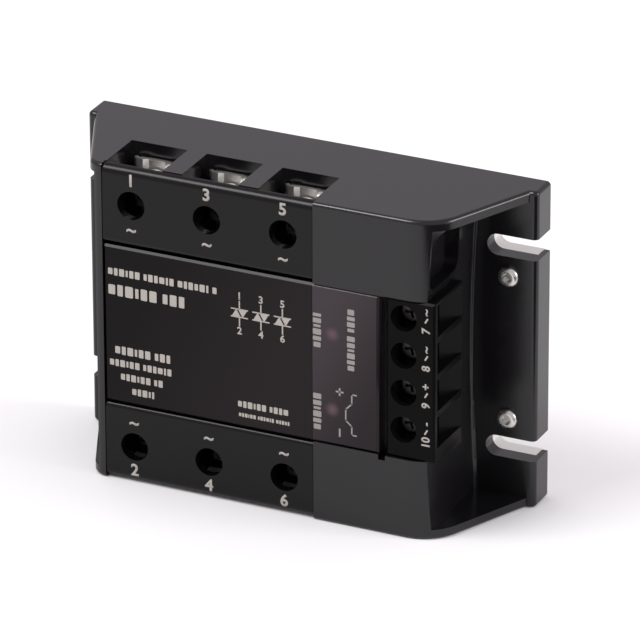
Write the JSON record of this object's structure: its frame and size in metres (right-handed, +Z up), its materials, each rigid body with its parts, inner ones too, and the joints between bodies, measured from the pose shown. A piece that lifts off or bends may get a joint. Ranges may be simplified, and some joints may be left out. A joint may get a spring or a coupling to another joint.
{
  "type": "solid state relay",
  "caption": "Panel-mount three-phase solid state relay: black slotted-flange housing, hinged terminal covers, screw terminals with wire clamps, end-entry control block and metal base plate.",
  "frame": {"origin": "centre of the mounting face, on the back of the base plate", "axes": "+Z up along the short side of the footprint, +X along the relay to the control terminals, -Y out of the front"},
  "size_m": [0.105, 0.0312, 0.0732],
  "materials": {
    "housing_plastic": "semi-gloss black moulding",
    "cover_plastic": "semi-gloss black moulding",
    "terminal_plastic": "satin black moulding",
    "nameplate_film": "glossy dark film",
    "smoked_window": "smoked translucent plastic",
    "base_aluminium": "milled",
    "rivet_steel": "plated",
    "screw_steel": "nickel plated",
    "clamp_steel": "nickel plated",
    "nut_steel": "zinc plated",
    "plated_copper": "tin-plated copper",
    "bare_copper": "bare copper",
    "alumina": "white alumina tile",
    "silicon": "metallised silicon",
    "board_laminate": "green solder mask",
    "green_lamp": "tinted lens",
    "red_lamp": "tinted lens",
    "chip_plastic": "moulded package",
    "film_capacitor": "yellow box capacitor",
    "resistor_ceramic": "lacquered",
    "can_aluminium": "sleeved can",
    "potting_silicone": "cured silicone"
  },
  "bodies": {
    "relay": {"housing": "housing_plastic", "base_plate": "base_aluminium", "housing_rivets": "rivet_steel", "nameplate": "nameplate_film", "indicator_window": "smoked_window", "control_terminal_block": "terminal_plastic", "control_terminal_plates": "plated_copper", "line_busbars": "plated_copper", "load_busbars": "plated_copper", "terminal_nuts": "nut_steel", "ceramic_substrates": "alumina", "copper_pads": "bare_copper", "thyristor_chips": "silicon", "chip_jumpers": "bare_copper", "gate_leads": "bare_copper", "printed_circuit_board": "board_laminate", "input_led": "green_lamp", "alarm_led": "red_lamp", "opto_couplers": "chip_plastic", "snubber_capacitors": "film_capacitor", "snubber_resistors": "resistor_ceramic", "bridge_rectifier": "chip_plastic", "input_capacitor": "can_aluminium", "alarm_transistor": "chip_plastic", "temperature_sensor": "chip_plastic", "potting_compound": "potting_silicone"},
    "upper_cover": {"upper_cover": "cover_plastic"},
    "lower_cover": {"lower_cover": "cover_plastic"},
    "line_clamp_1": {"line_clamp_1": "clamp_steel"},
    "line_screw_1": {"line_screw_1": "screw_steel"},
    "line_clamp_2": {"line_clamp_2": "clamp_steel"},
    "line_screw_2": {"line_screw_2": "screw_steel"},
    "line_clamp_3": {"line_clamp_3": "clamp_steel"},
    "line_screw_3": {"line_screw_3": "screw_steel"},
    "load_clamp_1": {"load_clamp_1": "clamp_steel"},
    "load_screw_1": {"load_screw_1": "screw_steel"},
    "load_clamp_2": {"load_clamp_2": "clamp_steel"},
    "load_screw_2": {"load_screw_2": "screw_steel"},
    "load_clamp_3": {"load_clamp_3": "clamp_steel"},
    "load_screw_3": {"load_screw_3": "screw_steel"},
    "control_clamp_1": {"control_clamp_1": "clamp_steel"},
    "control_screw_1": {"control_screw_1": "screw_steel"},
    "control_clamp_2": {"control_clamp_2": "clamp_steel"},
    "control_screw_2": {"control_screw_2": "screw_steel"},
    "control_clamp_3": {"control_clamp_3": "clamp_steel"},
    "control_screw_3": {"control_screw_3": "screw_steel"},
    "control_clamp_4": {"control_clamp_4": "clamp_steel"},
    "control_screw_4": {"control_screw_4": "screw_steel"}
  },
  "joints": [
    {"name": "upper_cover_hinge", "type": "hinge", "parent": "relay", "child": "upper_cover", "pos_m": [-0.0126, -0.0298, 0.01986], "axis": [1, 0, 0], "range_deg": [0, 95]},
    {"name": "lower_cover_hinge", "type": "hinge", "parent": "relay", "child": "lower_cover", "pos_m": [-0.0126, -0.0298, -0.01986], "axis": [-1, 0, 0], "range_deg": [0, 95]},
    {"name": "line_clamp_1_lift", "type": "slide", "parent": "relay", "child": "line_clamp_1", "axis": [0, -1, 0], "range_m": [0, 0.0035]},
    {"name": "line_screw_1_turn", "type": "hinge", "parent": "line_clamp_1", "child": "line_screw_1", "pos_m": [-0.03027, -0.01905, 0.0281], "axis": [0, -1, 0], "range_deg": [0, 1802]},
    {"name": "line_clamp_2_lift", "type": "slide", "parent": "relay", "child": "line_clamp_2", "axis": [0, -1, 0], "range_m": [0, 0.0035]},
    {"name": "line_screw_2_turn", "type": "hinge", "parent": "line_clamp_2", "child": "line_screw_2", "pos_m": [-0.0126, -0.01905, 0.0281], "axis": [0, -1, 0], "range_deg": [0, 1802]},
    {"name": "line_clamp_3_lift", "type": "slide", "parent": "relay", "child": "line_clamp_3", "axis": [0, -1, 0], "range_m": [0, 0.0035]},
    {"name": "line_screw_3_turn", "type": "hinge", "parent": "line_clamp_3", "child": "line_screw_3", "pos_m": [0.00507, -0.01905, 0.0281], "axis": [0, -1, 0], "range_deg": [0, 1802]},
    {"name": "load_clamp_1_lift", "type": "slide", "parent": "relay", "child": "load_clamp_1", "axis": [0, -1, 0], "range_m": [0, 0.0035]},
    {"name": "load_screw_1_turn", "type": "hinge", "parent": "load_clamp_1", "child": "load_screw_1", "pos_m": [-0.03027, -0.01905, -0.0281], "axis": [0, -1, 0], "range_deg": [0, 1802]},
    {"name": "load_clamp_2_lift", "type": "slide", "parent": "relay", "child": "load_clamp_2", "axis": [0, -1, 0], "range_m": [0, 0.0035]},
    {"name": "load_screw_2_turn", "type": "hinge", "parent": "load_clamp_2", "child": "load_screw_2", "pos_m": [-0.0126, -0.01905, -0.0281], "axis": [0, -1, 0], "range_deg": [0, 1802]},
    {"name": "load_clamp_3_lift", "type": "slide", "parent": "relay", "child": "load_clamp_3", "axis": [0, -1, 0], "range_m": [0, 0.0035]},
    {"name": "load_screw_3_turn", "type": "hinge", "parent": "load_clamp_3", "child": "load_screw_3", "pos_m": [0.00507, -0.01905, -0.0281], "axis": [0, -1, 0], "range_deg": [0, 1802]},
    {"name": "control_clamp_1_lift", "type": "slide", "parent": "relay", "child": "control_clamp_1", "axis": [0, -1, 0], "range_m": [0, 0.002]},
    {"name": "control_screw_1_turn", "type": "hinge", "parent": "control_clamp_1", "child": "control_screw_1", "pos_m": [0.03259, -0.0242, 0.01395], "axis": [0, -1, 0], "range_deg": [0, 1442]},
    {"name": "control_clamp_2_lift", "type": "slide", "parent": "relay", "child": "control_clamp_2", "axis": [0, -1, 0], "range_m": [0, 0.002]},
    {"name": "control_screw_2_turn", "type": "hinge", "parent": "control_clamp_2", "child": "control_screw_2", "pos_m": [0.03259, -0.0242, 0.00541], "axis": [0, -1, 0], "range_deg": [0, 1442]},
    {"name": "control_clamp_3_lift", "type": "slide", "parent": "relay", "child": "control_clamp_3", "axis": [0, -1, 0], "range_m": [0, 0.002]},
    {"name": "control_screw_3_turn", "type": "hinge", "parent": "control_clamp_3", "child": "control_screw_3", "pos_m": [0.03259, -0.0242, -0.00312], "axis": [0, -1, 0], "range_deg": [0, 1442]},
    {"name": "control_clamp_4_lift", "type": "slide", "parent": "relay", "child": "control_clamp_4", "axis": [0, -1, 0], "range_m": [0, 0.002]},
    {"name": "control_screw_4_turn", "type": "hinge", "parent": "control_clamp_4", "child": "control_screw_4", "pos_m": [0.03259, -0.0242, -0.01165], "axis": [0, -1, 0], "range_deg": [0, 1442]}
  ],
  "couplings": [
    {"joint": "line_screw_1_turn", "follows": "line_clamp_1_lift", "rad_per_m": 8976},
    {"joint": "line_screw_2_turn", "follows": "line_clamp_2_lift", "rad_per_m": 8976},
    {"joint": "line_screw_3_turn", "follows": "line_clamp_3_lift", "rad_per_m": 8976},
    {"joint": "load_screw_1_turn", "follows": "load_clamp_1_lift", "rad_per_m": 8976},
    {"joint": "load_screw_2_turn", "follows": "load_clamp_2_lift", "rad_per_m": 8976},
    {"joint": "load_screw_3_turn", "follows": "load_clamp_3_lift", "rad_per_m": 8976},
    {"joint": "control_screw_1_turn", "follows": "control_clamp_1_lift", "rad_per_m": 12566},
    {"joint": "control_screw_2_turn", "follows": "control_clamp_2_lift", "rad_per_m": 12566},
    {"joint": "control_screw_3_turn", "follows": "control_clamp_3_lift", "rad_per_m": 12566},
    {"joint": "control_screw_4_turn", "follows": "control_clamp_4_lift", "rad_per_m": 12566}
  ]
}
